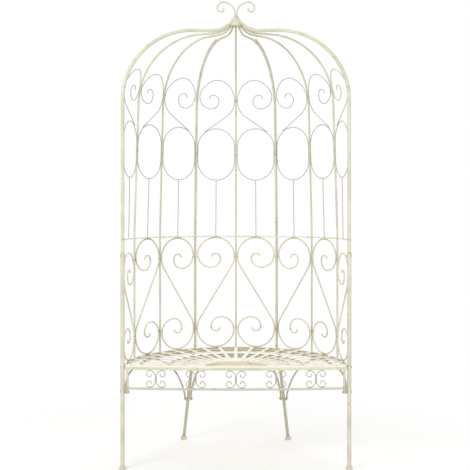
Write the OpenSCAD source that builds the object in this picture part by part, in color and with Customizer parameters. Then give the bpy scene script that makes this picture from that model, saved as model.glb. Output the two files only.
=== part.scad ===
// Iron garden bench: a half-round slatted seat inside a caged back that closes in a dome.
// Millimetres. Z is up and the front faces -Y. The origin is on the floor, under the middle of the bench.

/* [Cage] */
// Radius of the circle that the back rods stand on, to their centres
cage_r = 500; // [470:1:540]
// Angle between neighbouring rods, seen from above
bay_angle = 23.7; // [23:0.1:24.2]
// Diameter of the round back rods
rod_d = 9; // [8:0.5:10]
// Height at which the back rods begin to lean inwards
lean_h = 1030; // [1026:1:1045]
// How far the back rods lean inwards, in degrees
rod_lean = 2; // [1:0.1:2.5]
// Height of the flat top of the dome, to the rods' centres
dome_top_h = 1948; // [1925:1:1970]
// Radius of the shoulder of the dome
dome_r = 308; // [285:1:320]
// Radius of the upward sweep under the crown
ogee_r = 108; // [100:1:125]
// Distance from the dome's axis at which the upward sweep starts
ogee_start = 105; // [98:1:112]
// Angle on the shoulder at which the outer seam rods end
seam_rod_end = 80; // [76:0.5:84]
// Heights of the seam bolts on the upright part of the rods
seam_bolt_h = [474, 1087, 1426];
// Angles on the shoulder of the two upper seam bolts
seam_bolt_turn = [34, 77];

/* [Front posts] */
// Outer diameter of the lower front tubes
post_d = 19; // [18:0.5:22]
// Outer diameter of the tubes that form the front arch
arch_d = 16; // [14:0.5:17]
// Wall of the arch tubes
tube_wall = 1.4; // [1:0.1:2]
// Radius of the shoulders of the front arch
arch_shoulder_r = 315; // [295:1:330]
// How far the flat top of the arch stands above that of the back rods
arch_rise = 5; // [4:0.5:7]
// Height of the top of the lower front tubes
sleeve_h = 955; // [930:1:980]
// Length of arch tube inside each lower tube
sleeve_len = 50; // [40:1:80]

/* [Wire work] */
// Diameter of the wire of the large scrolls
scroll_d = 7; // [6:0.5:8]
// Diameter of the wire of the hearts, ovals, spindles and apron scrolls
wire_d = 4; // [3:0.5:5]
// Diameter of the arm ring
ring_d = 6; // [5:0.5:8]
// Height of the arm ring's centre
ring_h = 1018; // [990:1:1050]
// Height of the top of the scrolls beside the front posts
front_scroll_h = 957; // [935:1:980]
// Height of the centre of the ovals' upper ends
oval_h = 1461; // [1450:1:1470]
// Length of the ovals' straight sides
oval_side = 69; // [50:1:90]
// Height of the centre of the hearts' lobes
heart_h = 1695; // [1688:1:1712]

/* [Seat] */
// Height of the top of the seat
seat_h = 463; // [440:1:480]
// Height of the flat bars of the rim, front rail and hub
bar_w = 20; // [16:1:25]
// Thickness of the flat bars
bar_t = 4; // [3:0.5:5]
// How far the middle of the front rail bows forward of its ends
front_bow = 30; // [15:1:45]
// Number of slats
slat_count = 21; // [17:2:23]
// Width of a slat
slat_w = 17; // [14:0.5:17.5]
// Thickness of a slat
slat_t = 3; // [2:0.5:4]
// Angle between neighbouring slats
slat_angle = 8.4; // [8.2:0.1:8.5]
// Outer radius of the half-round hub
hub_r = 152; // [149:1:165]
// Radii of the two bearer bars under the slats
bearer_r = [300, 430];
// Height of the bearer bars
bearer_w = 14; // [10:1:18]

/* [Apron] */
// Height of the centre of the lower apron rail
apron_h = 360; // [345:1:375]
// Diameter of the apron rail and of its two uprights
apron_d = 10; // [8:0.5:12]
// Number of ornaments in the apron
ornament_count = 5; // [3:2:7]
// Distance between ornaments
ornament_pitch = 177; // [120:1:190]

/* [Legs] */
// Diameter of the rear legs
leg_d = 15; // [13:0.5:17]
// Angle of the top of each rear leg from the middle of the back
leg_angle = 24.6; // [24:0.1:27]
// How far each rear foot stands outside the top of its leg, sideways
leg_splay_x = 53; // [35:1:70]
// How far each rear foot stands behind the top of its leg
leg_splay_y = 38; // [25:1:55]
// Diameter of the curved braces
brace_d = 8; // [7:0.5:10]
// Height of the lower end of the rear braces
brace_h = 198; // [170:1:220]
// Place on the rim where the outer rear braces end, in degrees
brace_out_angle = 59.5; // [55:0.5:63]
// Place on the inner bearer where the inner rear braces end, in degrees
brace_in_angle = 12.5; // [8:0.5:16]
// Radius of the bend in the front braces
front_brace_r = 85; // [70:1:88]
// Diameter of the feet at the floor
foot_d = 32; // [28:1:38]
// Height of the feet
foot_h = 15; // [12:1:20]

/* [Crown] */
// Radius of the crown piece where the rods end
crown_r = 22; // [21:0.5:24]
// Diameter of the collar above it
collar_d = 31; // [28:1:36]
// Height of the collar's top above the ends of the rods
collar_rise = 33; // [30:1:50]
// Diameter of the two finial scrolls
finial_d = 7; // [6:0.5:8]
// Radius of the large bend of the finial scrolls
finial_r = 52; // [45:1:58]

/* [Fits] */
// Space left for a weld between two pieces
weld_gap = 0.2; // [0.1:0.05:0.3]
// Diameter that a hole has over its bolt, tube or stem
hole_play = 0.4; // [0.2:0.1:0.6]
// Diameter of the small bolts
small_bolt_d = 4; // [3:0.5:4]
// Diameter of the large bolts
large_bolt_d = 5; // [4:0.5:5.5]

/* [Hidden] */
$fn = 48;

// Facets round a whole turn of a bend, and of the very wide bow of the front rail
bend_fn = 144;
bow_fn = 720;

// Radial places, all from the dome's axis
seam_off = rod_d + weld_gap;
front_off = (post_d - rod_d) / 2;
front_r = cage_r + front_off;
ring_r = cage_r - rod_d / 2 - weld_gap - ring_d / 2;
rim_out = cage_r - rod_d / 2 - weld_gap;
rim_in = rim_out - bar_t;
front_angle = 4 * bay_angle;
post_x = front_r * sin(front_angle);
post_y = front_r * cos(front_angle);

// The back rods: upright, a slight bend, a straight that leans inwards, then the shoulder
lean_bend_r = 900;
lean_end = lean_h + lean_bend_r * sin(rod_lean);
lean_r = cage_r - lean_bend_r * (1 - cos(rod_lean));
shoulder_h = dome_top_h - dome_r;
shoulder_start = shoulder_h + dome_r * sin(rod_lean);
shoulder_r = lean_r - (shoulder_start - lean_end) * tan(rod_lean) - dome_r * cos(rod_lean);

// The front arch stays upright up to its shoulders
arch_h = dome_top_h + arch_rise - arch_shoulder_r;
arch_c = front_r - arch_shoulder_r;

// Heights that follow from the seat
bar_bottom = seat_h - bar_w;
bearer_top = seat_h - slat_t - weld_gap;
bearer_bottom = bearer_top - bearer_w;
leg_top = seat_h - 2;

// The bowed front: a circle through the rail's ends and its middle
rail_ahead = 7;
rail_end_y = post_y - rail_ahead;
rail_end_x = sqrt(rim_in * rim_in - rail_end_y * rail_end_y);
bow_r = (rail_end_x * rail_end_x + front_bow * front_bow) / (2 * front_bow);
rail_mid_y = rail_end_y - front_bow;
bow_y = rail_mid_y + bow_r;
rim_end_angle = 90 + asin((-rail_end_y + bar_t / 2) / rim_out);

// The box of the bench, which puts the origin under its middle
front_reach = -rail_mid_y + apron_d / 2;

// Where the rods and the front arch end at the crown
arch_top_r = 34;
rod_end_room = crown_r + weld_gap + 0.2;
rod_end_slope = asin((ogee_start - rod_end_room) / (ogee_r + rod_d / 2));
rod_end_r = rod_end_room + rod_d / 2 * sin(rod_end_slope);
rod_end_z = dome_top_h + ogee_r * (1 - cos(rod_end_slope));
collar_h = rod_end_z + collar_rise;

// The stack of tube, brace and upright that each lower front bolt holds
stack_turn = 12;
stack_h = 343;
stack_foot = 336;
brace_out = post_d / 2 + weld_gap + brace_d / 2;
upright_out = brace_out + brace_d / 2 + weld_gap + apron_d / 2;
sleeve_bolt_h = sleeve_h - 9;
seat_bolt_h = bar_bottom + bar_w / 2;

// Rear legs: axis from the rim down to the floor
leg_lean_gap = 0.8;
leg_top_r = rim_out + leg_d / 2 + leg_lean_gap;
leg_top_pt = [leg_top_r * sin(leg_angle), leg_top_r * cos(leg_angle), seat_h];
leg_foot_x = leg_top_pt.x + leg_splay_x;
leg_foot_y = leg_top_pt.y + leg_splay_y;
leg_foot_pt = [leg_foot_x, leg_foot_y, 0];
leg_lean = leg_splay_x / seat_h;
back_reach = max(leg_foot_y + foot_d / 2, cage_r + rod_d / 2);
cage_y = (front_reach - back_reach) / 2;
brace_bolt_h = brace_h + 9;
leg_drift = leg_lean * (brace_bolt_h - brace_h);
leg_out_side = leg_d / 2 + brace_d / 2 + 2 * weld_gap;
leg_in_side = leg_out_side + leg_lean * leg_lean * (bearer_bottom - brace_h);
leg_bolt_head = leg_out_side + brace_d / 2 + leg_drift + 1.9;
leg_nut_seat = leg_in_side + brace_d / 2 - leg_drift + 0.6;

function polar(r, a) = [r * sin(a), r * cos(a)];
function on_leg(z) = leg_foot_pt + (leg_top_pt - leg_foot_pt) * z / seat_h;

// Bays are named by the rod under the hearts' point (v) and the rod between the lobes (l)
function v_off(v, l) = v == 1 && l == 2 ? seam_off : 0;
function l_off(l) = l == 4 ? front_off : 0;
function v_point(v, l) = polar(cage_r + v_off(v, l), v * bay_angle);
function l_point(l) = polar(cage_r + l_off(l), l * bay_angle);
function chord(v, l) = norm(l_point(l) - v_point(v, l));
function loop_r(v, l, d, l_rad) = (chord(v, l) - rod_d / 2 - l_rad) / 2 - weld_gap - d / 2;
function loop_u(v, l, d, l_rad) = rod_d / 2 + weld_gap + d / 2 + loop_r(v, l, d, l_rad);
function arch_rad(l) = l == 4 ? arch_d / 2 : rod_d / 2;
function post_rad(l) = l == 4 ? post_d / 2 : rod_d / 2;

// Distance of a back rod's centre from the axis at a height, for a rod that lies off outside it
function rod_at(z, off) = z <= lean_h ? cage_r + off
    : z <= shoulder_h + (dome_r + off) * sin(rod_lean)
    ? lean_r + off / cos(rod_lean) - max(0, z - lean_end) * tan(rod_lean)
    : shoulder_r + sqrt(pow(dome_r + off, 2) - pow(z - shoulder_h, 2));
function arch_at(z) = z <= arch_h ? front_r : arch_c + sqrt(pow(arch_shoulder_r, 2) - pow(z - arch_h, 2));
function v_at(v, l, z) = polar(rod_at(z, v_off(v, l)), v * bay_angle);
function l_at(l, z) = polar(l == 4 ? arch_at(z) : rod_at(z, 0), l * bay_angle);
function chord_at(v, l, z) = norm(l_at(l, z) - v_at(v, l, z));

// Point of a bay's bent face: share of the way from its v rod to its l rod, and height
function bay_point(v, l, share, z) =
    let (m = v_at(v, l, z) + (l_at(l, z) - v_at(v, l, z)) * share) [m.x, m.y, z];
function mid_r(v, l, u) = norm(v_point(v, l) + (l_point(l) - v_point(v, l)) * u / chord(v, l));

// Arcs that curl a scroll inwards: share of the loop's radius, and turn
scroll_curl = [[0.697, 130], [0.465, 75], [0.264, 120], [0.106, 70]];
heart_curl = [[0.634, 130], [0.40, 80], [0.306, 120], [0.148, 70]];
scroll_turn = 155;
heart_turn = 150;

// How much thicker the large scrolls and the rods are where one bend passes into the next
forge_swell = 0.2;
rod_swell = 0.1;

module cage() {
    translate([0, cage_y, 0]) children();
}

module left() {
    mirror([1, 0, 0]) children();
}

// Drawing plane that holds the dome's axis: x is the distance from it, y is the height
module radial_plane(a) {
    rotate([0, 0, 90 - a]) rotate([90, 0, 0]) children();
}

// Drawing plane of a bay: x runs from its v rod to its l rod, y is the height
module bay_plane(v, l) {
    p = v_point(v, l);
    q = l_point(l);
    translate([p.x, p.y, 0]) rotate([0, 0, atan2(q.y - p.y, q.x - p.x)]) rotate([90, 0, 0]) children();
}

module bend(d, r, turn) {
    translate([-r, 0, 0]) rotate_extrude(angle = turn, $fn = bend_fn) translate([r, 0]) circle(d = d);
}

// Round wire drawn step by step from the origin, first along +y: [length] or [radius, turn to the left]
module wire(d, path, swell = 0, i = 0) {
    if (i < len(path)) {
        step = path[i];
        if (swell > 0 && (i > 0 || len(step) > 1)) {
            sphere(d = d + swell);
        }
        if (len(step) == 1) {
            rotate([-90, 0, 0]) cylinder(h = step[0], d = d);
            translate([0, step[0], 0]) wire(d, path, swell, i + 1);
        } else if (step[1] > 0) {
            bend(d, step[0], step[1]);
            translate([-step[0], 0, 0]) rotate([0, 0, step[1]]) translate([step[0], 0, 0])
                wire(d, path, swell, i + 1);
        } else {
            mirror([1, 0, 0]) bend(d, step[0], -step[1]);
            translate([step[0], 0, 0]) rotate([0, 0, step[1]]) translate([-step[0], 0, 0])
                wire(d, path, swell, i + 1);
        }
    }
}

// Ring segment in plan, between two angles from the middle of the back
module plan_arc(a0, a1, fn = bend_fn) {
    rotate([0, 0, 90 - a1]) rotate_extrude(angle = a1 - a0, $fn = fn) children();
}

module bolt(d, grip) {
    translate([0, 0, -grip - 0.8 * d]) cylinder(h = grip + 0.8 * d, d = d);
    intersection() {
        cylinder(h = 0.6 * d, d = 2 * d);
        translate([0, 0, 0.6 * d - 1.3 * d]) sphere(d = 2.6 * d);
    }
}

module nut(d) {
    translate([0, 0, -0.8 * d]) difference() {
        cylinder(h = 0.8 * d, d = 1.9 * d, $fn = 6);
        translate([0, 0, -1]) cylinder(h = 0.8 * d + 2, d = d + hole_play / 2);
    }
}

module strut(p, q, d) {
    v = q - p;
    translate(p) rotate([0, acos(v.z / norm(v)), atan2(v.y, v.x)]) rotate([0, 0, 37])
        cylinder(h = norm(v), d = d);
}

// Frames for the bolts, with +z along the bolt towards its head
module seam_frame(k) {
    z = seam_bolt_h[k];
    radial_plane(bay_angle) translate([rod_at(z, 0), z, 0])
        rotate([0, 0, z > lean_h ? rod_lean : 0]) rotate([0, 90, 0]) children();
}

module shoulder_frame(k) {
    radial_plane(bay_angle) translate([shoulder_r, shoulder_h, 0]) rotate([0, 0, seam_bolt_turn[k]])
        translate([dome_r, 0, 0]) rotate([0, 90, 0]) children();
}

module post_frame(z) {
    radial_plane(front_angle) translate([front_r, z, 0]) rotate([0, 90, 0]) children();
}

// Turned about the front post so that the stack meets the upright under the front rail
module stack_frame() {
    translate([post_x, post_y, stack_h]) rotate([0, 0, stack_turn]) rotate([0, 90, 0]) children();
}

module leg_frame() {
    p = on_leg(brace_bolt_h);
    translate(p) rotate([0, 90, 0]) children();
}

module seam_holes() {
    for (k = [0:len(seam_bolt_h) - 1]) {
        seam_frame(k) cylinder(h = 60, d = small_bolt_d + hole_play, center = true);
    }
    for (k = [0:len(seam_bolt_turn) - 1]) {
        shoulder_frame(k) cylinder(h = 60, d = small_bolt_d + hole_play, center = true);
    }
}

function upright_path(off, bottom) = [
    [lean_h - bottom], [lean_bend_r + off, rod_lean], [(shoulder_start - lean_end) / cos(rod_lean)]
];

module back_rod(a, bottom) {
    color("antiquewhite") radial_plane(a) translate([cage_r, bottom, 0])
        wire(rod_d, concat(upright_path(0, bottom), [
            [dome_r, 90 - rod_lean], [shoulder_r - ogee_start], [ogee_r, -rod_end_slope]
        ]), rod_swell);
}

module back_edge_rod() {
    difference() {
        back_rod(bay_angle, leg_top + weld_gap);
        seam_holes();
    }
}

module side_edge_rod() {
    bottom = leg_top + weld_gap;
    color("antiquewhite") difference() {
        radial_plane(bay_angle) translate([cage_r + seam_off, bottom, 0])
            wire(rod_d, concat(upright_path(seam_off, bottom), [
                [dome_r + seam_off, seam_rod_end - rod_lean]
            ]), rod_swell);
        seam_holes();
    }
}

// Lower front tube, open at the top for the arch
module front_post() {
    floor_h = 4;
    color("antiquewhite") difference() {
        translate([post_x, post_y, floor_h]) cylinder(h = sleeve_h - floor_h, d = post_d);
        translate([post_x, post_y, floor_h - 1])
            cylinder(h = sleeve_h - floor_h + 2, d = arch_d + hole_play);
        post_frame(sleeve_bolt_h) cylinder(h = 60, d = large_bolt_d + hole_play, center = true);
        post_frame(seat_bolt_h) cylinder(h = 60, d = small_bolt_d + hole_play, center = true);
        stack_frame() cylinder(h = 60, d = large_bolt_d + hole_play, center = true);
    }
}

// Half of the front arch: a tube whose closed end carries a round tip that meets the crown
module front_arch() {
    bottom = sleeve_h - sleeve_len;
    bore = arch_d - 2 * tube_wall;
    plug_turn = 1.5;
    tube_end = asin((ogee_start - arch_top_r) / ogee_r);
    tip_turn = rod_end_slope - tube_end;
    shoulder = [[arch_h - bottom], [arch_shoulder_r, 90], [arch_c - ogee_start]];
    color("antiquewhite") difference() {
        radial_plane(front_angle) translate([front_r, bottom, 0]) union() {
            wire(arch_d, concat(shoulder, [[ogee_r, -tube_end]]));
            translate([ogee_start - front_r, arch_h - bottom + arch_shoulder_r, 0])
                rotate([0, 0, 90]) translate([ogee_r, 0, 0]) rotate([0, 0, -tube_end + plug_turn])
                    translate([-ogee_r, 0, 0]) wire(rod_d, [[ogee_r, -tip_turn - plug_turn]]);
        }
        radial_plane(front_angle) translate([front_r, bottom - 1, 0])
            wire(bore, [
                [shoulder[0][0] + 1], shoulder[1], shoulder[2], [ogee_r, -tube_end + 2 * plug_turn]
            ]);
        post_frame(sleeve_bolt_h) cylinder(h = 60, d = large_bolt_d + hole_play, center = true);
    }
}

module arm_ring_back() {
    end_gap = weld_gap / 2 / ring_r * 180 / PI;
    color("antiquewhite") translate([0, 0, ring_h]) plan_arc(-bay_angle + end_gap, bay_angle - end_gap)
        translate([ring_r, 0]) circle(d = ring_d);
}

// Follows the rods, then runs straight to the front arch
module arm_ring_side() {
    end_gap = weld_gap / 2 / ring_r * 180 / PI;
    leave = front_angle - acos(ring_r / front_r);
    straight = sqrt(front_r * front_r - ring_r * ring_r) - arch_d / 2 - weld_gap;
    color("antiquewhite") translate([0, 0, ring_h]) union() {
        plan_arc(bay_angle + end_gap, leave) translate([ring_r, 0]) circle(d = ring_d);
        rotate([0, 0, 90 - leave]) translate([ring_r, 0, 0]) rotate([90, 0, 0])
            cylinder(h = straight, d = ring_d);
    }
}

// Large scroll of one bay: two loops joined by a straight that touches both
module large_scroll(v, l) {
    r = loop_r(v, l, scroll_d, post_rad(l));
    u = loop_u(v, l, scroll_d, post_rad(l));
    under = ring_d / 2 + scroll_d / 2 + weld_gap;
    aside = abs(ring_r - mid_r(v, l, u));
    top = l == 4 ? front_scroll_h - scroll_d / 2 : ring_h - sqrt(under * under - aside * aside);
    low = seat_h + weld_gap + scroll_d / 2 + r;
    rise = top - r - low;
    lean = asin(2 * r / rise);
    half = rise * cos(lean) / 2;
    curl = [for (c = scroll_curl) [c[0] * r, c[1]]];
    color("antiquewhite") bay_plane(v, l) translate([u, low + rise / 2, 0]) {
        rotate([0, 0, -lean]) rotate([90, 0, 0]) cylinder(h = 2 * half, d = scroll_d, center = true);
        for (end = [0, 180]) {
            rotate([0, 0, end - lean]) translate([0, half, 0])
                wire(scroll_d, concat([[r, scroll_turn + lean]], curl), forge_swell);
        }
    }
}

// Radius of the ovals of a bay, which touch both rods where their upper bends start
function oval_r(v, l) = (chord_at(v, l, oval_h) - rod_d / 2 - arch_rad(l)) / 2 - weld_gap - wire_d / 2;
oval_mid = oval_h - oval_side / 2;
function oval_u(v, l) = let (width = chord_at(v, l, oval_mid))
    l == 4 ? width - arch_rad(l) - weld_gap - wire_d / 2 - oval_r(v, l) : width / 2;

// Oval of one bay, in the plane of its two rods
module oval(v, l) {
    p = v_at(v, l, oval_mid);
    q = l_at(l, oval_mid);
    high = v_at(v, l, oval_mid + 50) + l_at(l, oval_mid + 50);
    low = v_at(v, l, oval_mid - 50) + l_at(l, oval_mid - 50);
    tilt = (l > v ? 1 : -1) * atan((norm(low) - norm(high)) / 200);
    r = oval_r(v, l);
    color("antiquewhite") translate([p.x, p.y, oval_mid]) rotate([0, 0, atan2(q.y - p.y, q.x - p.x)])
        rotate([90 + tilt, 0, 0]) translate([oval_u(v, l) + r, -oval_side / 2, 0])
            wire(wire_d, [[oval_side], [r, 180], [oval_side], [r, 180]]);
}

// Spindle from the arm ring up to the oval
module spindle(v, l) {
    share = oval_u(v, l) / chord_at(v, l, oval_mid);
    foot = ring_h + ring_d / 2 + weld_gap;
    head = oval_h - oval_side - oval_r(v, l) - wire_d / 2 - weld_gap;
    color("antiquewhite") strut(bay_point(v, l, share, foot), bay_point(v, l, share, head), wire_d);
}

// Points along a list of [radius, turn] arcs, from point p with heading a
function arc_points(p, a, path, i = 0) = i >= len(path) ? [p] : let (
    r = path[i][0],
    turn = path[i][1],
    n = max(3, round(turn / 14)),
    c = p + r * [-sin(a), cos(a)]
) concat(
    [for (k = [0:n - 1]) c + r * [sin(a + turn * k / n), -cos(a + turn * k / n)]],
    arc_points(c + r * [sin(a + turn), -cos(a + turn)], a + turn, path, i + 1)
);

heart_sides = 8;

// Half heart of one bay, bent over the shoulder of the dome: laid out flat, then squeezed to the bay
module half_heart(v, l) {
    width = chord(v, l);
    squeeze = chord_at(v, l, heart_h) / width;
    beside = (rod_d / 2 + wire_d / 2 + weld_gap) / squeeze;
    r = (width - beside - (arch_rad(l) + wire_d / 2 + weld_gap) / squeeze) / 2;
    centre = [beside + r, heart_h];
    tail_r = oval_r(v, l) + wire_d + 2 * weld_gap;
    tail_turn = asin((r + tail_r) / (heart_h - oval_h));
    tail_z = oval_h + tail_r * sin(tail_turn);
    tail_mid = l == 4 ? oval_u(v, l) / chord_at(v, l, oval_mid) * width : width / 2;
    start = [tail_mid - tail_r * cos(tail_turn) * width / chord_at(v, l, tail_z), tail_z];
    reach = norm(centre - start);
    heading = atan2(centre.y - start.y, centre.x - start.x) - asin(r / reach);
    along = [cos(heading), sin(heading)];
    run = sqrt(reach * reach - r * r);
    arcs = concat([[r, heart_turn + 90 - heading]], [for (c = heart_curl) [c[0] * r, c[1]]]);
    straight = [for (k = [0:3]) start + along * run * k / 4];
    flat = concat(straight, arc_points(start + along * run, heading, arcs));
    line = [for (f = flat) bay_point(v, l, f.x / width, f.y)];
    mid = polar(1, (v + l) / 2 * bay_angle);
    last = len(line) - 1;
    points = [for (i = [0:last]) let (
        t = line[min(i + 1, last)] - line[max(i - 1, 0)],
        b = cross(t, [mid.x, mid.y, 0]) / norm(cross(t, [mid.x, mid.y, 0])),
        n = cross(b, t) / norm(cross(b, t))
    ) for (k = [0:heart_sides - 1]) let (w = 360 * k / heart_sides)
        line[i] + wire_d / 2 * (cos(w) * n + sin(w) * b)];
    faces = concat(
        [[for (k = [0:heart_sides - 1]) k]],
        [[for (k = [0:heart_sides - 1]) last * heart_sides + heart_sides - 1 - k]],
        [for (i = [0:last - 1]) for (k = [0:heart_sides - 1]) let (m = (k + 1) % heart_sides)
            [i * heart_sides + k, (i + 1) * heart_sides + k, (i + 1) * heart_sides + m, i * heart_sides + m]]
    );
    color("antiquewhite") polyhedron(points = points, faces = faces, convexity = 4);
}

SIDE_BAYS = [[1, 2], [3, 2], [3, 4]];

// Cuts what lies ahead of the back of the front rail
module behind_rail() {
    intersection() {
        children();
        translate([0, bow_y, 0]) cylinder(h = 1000, r = bow_r - bar_t / 2 - weld_gap, $fn = bow_fn);
    }
}

module seat_rim() {
    color("antiquewhite") difference() {
        plan_arc(-rim_end_angle, rim_end_angle) translate([rim_in, bar_bottom]) square([bar_t, bar_w]);
        for (side = [0, 1]) {
            mirror([side, 0, 0]) post_frame(seat_bolt_h)
                cylinder(h = 60, d = small_bolt_d + hole_play, center = true);
        }
    }
}

module seat_front_rail() {
    half_turn = 1.1 * asin(rail_end_x / bow_r);
    color("antiquewhite") intersection() {
        translate([0, bow_y, bar_bottom]) rotate([0, 0, -90 - half_turn])
            rotate_extrude(angle = 2 * half_turn, $fn = bow_fn) translate([bow_r - bar_t / 2, 0])
                square([bar_t, bar_w]);
        cylinder(h = seat_h + 1, r = rim_in - weld_gap, $fn = bend_fn);
    }
}

module seat_hub() {
    color("antiquewhite") behind_rail() translate([0, 0, bar_bottom]) difference() {
        cylinder(h = bar_w, r = hub_r, $fn = bend_fn);
        translate([0, 0, -1]) cylinder(h = bar_w + 2, r = hub_r - bar_t, $fn = bend_fn);
    }
}

module seat_hub_plate() {
    plate_t = 2;
    color("antiquewhite") behind_rail() translate([0, 0, seat_h - slat_t - plate_t])
        cylinder(h = plate_t, r = hub_r - bar_t - weld_gap, $fn = bend_fn);
}

module seat_bearer(r) {
    color("antiquewhite") behind_rail() translate([0, 0, bearer_bottom]) difference() {
        cylinder(h = bearer_w, r = r + bar_t / 2, $fn = bend_fn);
        translate([0, 0, -1]) cylinder(h = bearer_w + 2, r = r - bar_t / 2, $fn = bend_fn);
    }
}

// Slats fan out from the middle of the front rail, between the hub and the rim
module seat_slats() {
    last = (slat_count - 1) / 2;
    color("ivory") intersection() {
        for (k = [-last:last]) {
            translate([0, rail_mid_y, seat_h - slat_t]) rotate([0, 0, k * slat_angle])
                translate([-slat_w / 2, 0, 0]) cube([slat_w, 2 * cage_r, slat_t]);
        }
        difference() {
            cylinder(h = seat_h, r = rim_in - weld_gap, $fn = bend_fn);
            translate([0, 0, -1]) cylinder(h = seat_h + 2, r = hub_r + weld_gap, $fn = bend_fn);
        }
    }
}

module apron_rail() {
    reach = post_x - upright_out * cos(stack_turn) - apron_d / 2 - weld_gap;
    half_turn = asin(reach / bow_r);
    color("antiquewhite") translate([0, bow_y, apron_h]) rotate([0, 0, -90 - half_turn])
        rotate_extrude(angle = 2 * half_turn, $fn = bow_fn) translate([bow_r, 0]) circle(d = apron_d);
}

module apron_upright() {
    at = [post_x - upright_out * cos(stack_turn), post_y - upright_out * sin(stack_turn), stack_foot];
    color("antiquewhite") difference() {
        translate(at) cylinder(h = bar_bottom - weld_gap - stack_foot, d = apron_d);
        stack_frame() cylinder(h = 60, d = large_bolt_d + hole_play, center = true);
    }
}

// Two scrolls back to back, as high as the space between the rails
module ornament() {
    outer_r = 26;
    loop = 14;
    tip = 8;
    half = (bar_bottom - apron_h - apron_d / 2) / 2 - weld_gap - wire_d / 2;
    for (side = [0, 1]) {
        mirror([side, 0, 0]) translate([-wire_d / 2 - weld_gap / 2, 0, 0]) {
            wire(wire_d, [[half - outer_r], [outer_r, 90], [loop, 180], [tip, 110]]);
            mirror([0, 1, 0]) wire(wire_d, [[half - outer_r], [outer_r, 90], [loop, 180], [tip, 110]]);
        }
    }
}

module apron_scrolls() {
    last = (ornament_count - 1) / 2;
    middle = (bar_bottom + apron_h + apron_d / 2) / 2;
    color("antiquewhite") for (k = [-last:last]) {
        translate([0, bow_y, middle]) rotate([0, 0, asin(k * ornament_pitch / bow_r)])
            translate([0, -bow_r, 0]) rotate([90, 0, 0]) ornament();
    }
}

// Rear leg: a leaning tube, cut level under the seam rods
module rear_leg() {
    floor_h = 4;
    color("antiquewhite") difference() {
        intersection() {
            strut(on_leg(-30), on_leg(seat_h + 30), leg_d);
            translate([0, 0, floor_h]) cylinder(h = leg_top - floor_h, r = 2 * cage_r);
        }
        strut(on_leg(-30), on_leg(seat_h + 30), leg_d - 2 * tube_wall);
        leg_frame() cylinder(h = 60, d = large_bolt_d + hole_play, center = true);
    }
}

// Brace that rises from a foot point and arrives level under its seat bar
module rear_brace(foot, head) {
    run = norm([head.x - foot.x, head.y - foot.y]);
    rise = head.z - foot.z;
    r = (run * run + rise * rise) / (2 * rise);
    start = acos(1 - rise / r);
    translate(foot) rotate([0, 0, atan2(head.y - foot.y, head.x - foot.x)]) rotate([90, 0, 0])
        mirror([1, 0, 0]) rotate([0, 0, 90 - start]) wire(brace_d, [[r, start]]);
}

module rear_braces() {
    at = on_leg(brace_h);
    out_head = polar((rim_in + rim_out) / 2, brace_out_angle);
    in_head = polar(bearer_r[0], brace_in_angle);
    color("antiquewhite") difference() {
        union() {
            rear_brace([at.x + leg_out_side, at.y, brace_h],
                [out_head.x, out_head.y, bar_bottom - weld_gap - brace_d / 2]);
            rear_brace([at.x - leg_in_side, at.y, brace_h],
                [in_head.x, in_head.y, bearer_bottom - weld_gap - brace_d / 2]);
        }
        leg_frame() cylinder(h = 80, d = large_bolt_d + hole_play, center = true);
    }
}

// Brace from the front post back to the outer bearer
module front_brace() {
    level = bearer_bottom - weld_gap - brace_d / 2;
    heading = 120;
    tail = 38;
    color("antiquewhite") difference() {
        translate([post_x - brace_out * cos(stack_turn), post_y - brace_out * sin(stack_turn), stack_foot])
            rotate([0, 0, heading]) rotate([90, 0, 0]) mirror([1, 0, 0])
                wire(brace_d, [[level - front_brace_r - stack_foot], [front_brace_r, 90], [tail]]);
        stack_frame() cylinder(h = 80, d = large_bolt_d + hole_play, center = true);
    }
}

// Flared foot with a socket for the tube
module foot_body() {
    neck_d = foot_d - 8;
    rotate_extrude($fn = 96) polygon([
        [0, 0], [foot_d / 2 - 1, 0], [foot_d / 2, 1], [foot_d / 2, 4], [neck_d / 2 + 1.5, 7],
        [neck_d / 2, foot_h - 1], [neck_d / 2 - 1, foot_h], [0, foot_h]
    ]);
}

module feet() {
    socket_h = 4 - weld_gap;
    color("antiquewhite") for (side = [0, 1]) {
        mirror([side, 0, 0]) difference() {
            translate([post_x, post_y, 0]) foot_body();
            translate([post_x, post_y, socket_h]) cylinder(h = foot_h, d = post_d + hole_play);
        }
        mirror([side, 0, 0]) difference() {
            translate([leg_foot_x, leg_foot_y, 0]) foot_body();
            intersection() {
                strut(on_leg(-30), on_leg(60), leg_d + hole_play);
                translate([0, 0, socket_h]) cylinder(h = 80, r = 2 * cage_r);
            }
        }
    }
}

// Turned crown that the rods, the arch and the finials meet in
module crown() {
    stem_x = finial_d / 2 + 0.8;
    z = rod_end_z;
    color("antiquewhite") difference() {
        rotate_extrude($fn = 96) polygon([
            [0, z - 18], [crown_r - 8, z - 16], [crown_r, z - 8], [crown_r, z + 9],
            [collar_d / 2 - 1.5, z + 18], [collar_d / 2, z + 21], [collar_d / 2, collar_h - 4],
            [collar_d / 2 - 3, collar_h], [0, collar_h]
        ]);
        for (x = [-stem_x, stem_x]) {
            translate([x, 0, collar_h - 18]) cylinder(h = 20, d = finial_d + hole_play);
        }
    }
}

module finial() {
    stem_x = finial_d / 2 + 0.8;
    seated = 18 - weld_gap;
    color("antiquewhite") translate([-stem_x, 0, collar_h - seated]) rotate([90, 0, 0])
        wire(finial_d, [[seated + 14], [finial_r, 90], [27, 90], [16, 90], [12, 110]]);
}

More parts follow.
